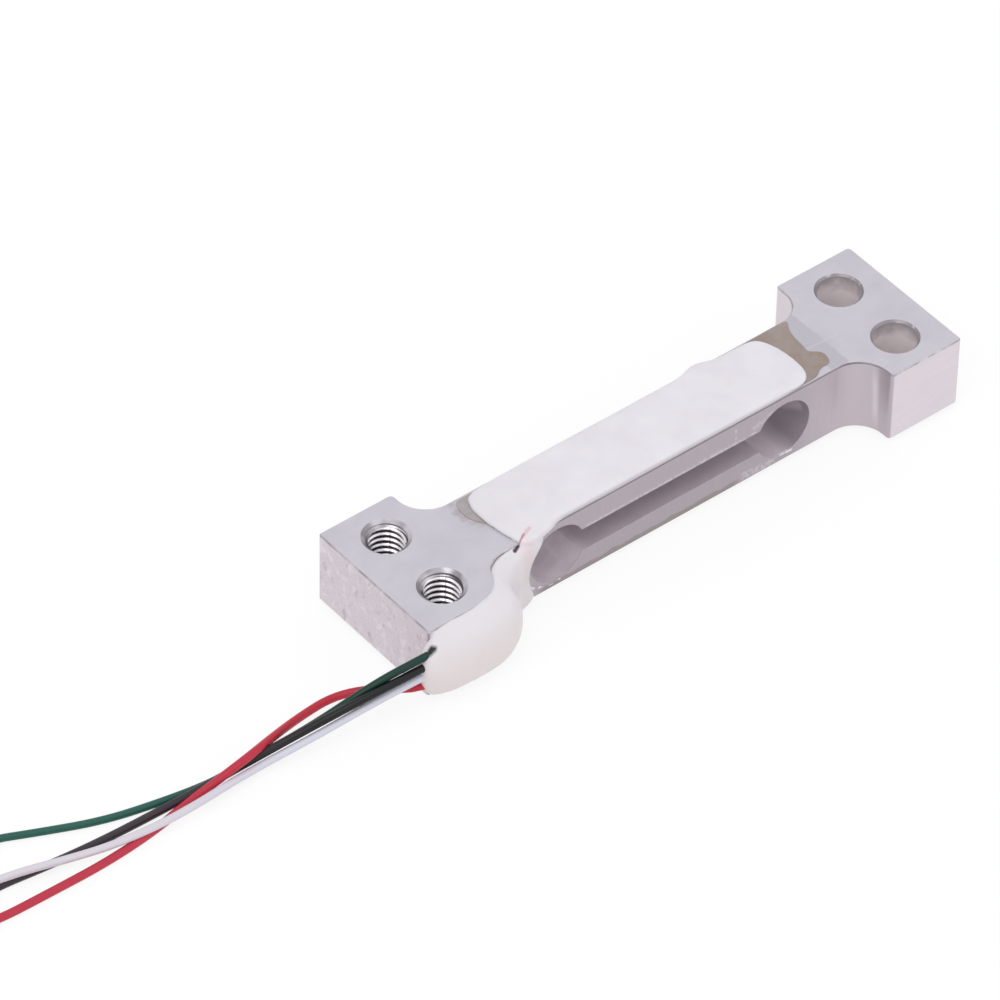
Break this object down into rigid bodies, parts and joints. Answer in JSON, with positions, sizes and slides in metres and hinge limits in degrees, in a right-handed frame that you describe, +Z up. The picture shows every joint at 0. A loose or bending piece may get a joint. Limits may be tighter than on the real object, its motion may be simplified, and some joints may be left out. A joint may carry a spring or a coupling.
{
  "type": "weighing load cell",
  "caption": "Miniature bending-beam load cell: a slotted bar with a bolt-down end, a load end, silicone-covered strain gauges and thin insulated leads in a tied coil.",
  "frame": {"origin": "middle of the two threaded fixing holes, on the underside of the beam", "axes": "+X along the beam from the fixing end to the load end, +Y across the beam towards the side away from the leads' joints, +Z up out of the top gauges"},
  "size_m": [0.0986, 0.0205, 0.0069],
  "materials": {
    "beam_aluminium": "cold-drawn top and bottom, sawn ends, milled neck",
    "adhesive": "thin brown glossy film",
    "gauge": "amber backing film with etched foil",
    "clear_silicone": "translucent, smooth and softly glossy",
    "white_silicone": "translucent white, smooth and softly glossy",
    "board": "bare laminate with tinned pads",
    "solder": "bright tinned",
    "jumper": "enamelled copper",
    "lead_red": "smooth insulation",
    "lead_black": "smooth insulation",
    "lead_white": "smooth insulation",
    "lead_green": "smooth insulation",
    "lead_coil": "smooth insulation in four colours",
    "coil_tie": "paper band"
  },
  "bodies": {
    "root": {"beam": "beam_aluminium", "adhesive_top": "adhesive", "adhesive_bottom": "adhesive", "gauge_top_near": "gauge", "gauge_top_far": "gauge", "gauge_bottom_near": "gauge", "gauge_bottom_far": "gauge", "coating_top": "clear_silicone", "coating_bottom": "clear_silicone", "potting": "white_silicone", "terminal_board": "board", "solder_joints": "solder", "jumper_top_red": "jumper", "jumper_top_black": "jumper", "jumper_bottom_white": "jumper", "jumper_bottom_green": "jumper", "lead_red": "lead_red", "lead_black": "lead_black", "lead_white": "lead_white", "lead_green": "lead_green", "lead_coil": "lead_coil", "coil_tie": "coil_tie", "bare_end_red": "solder", "bare_end_black": "solder", "bare_end_white": "solder", "bare_end_green": "solder"}
  },
  "joints": []
}
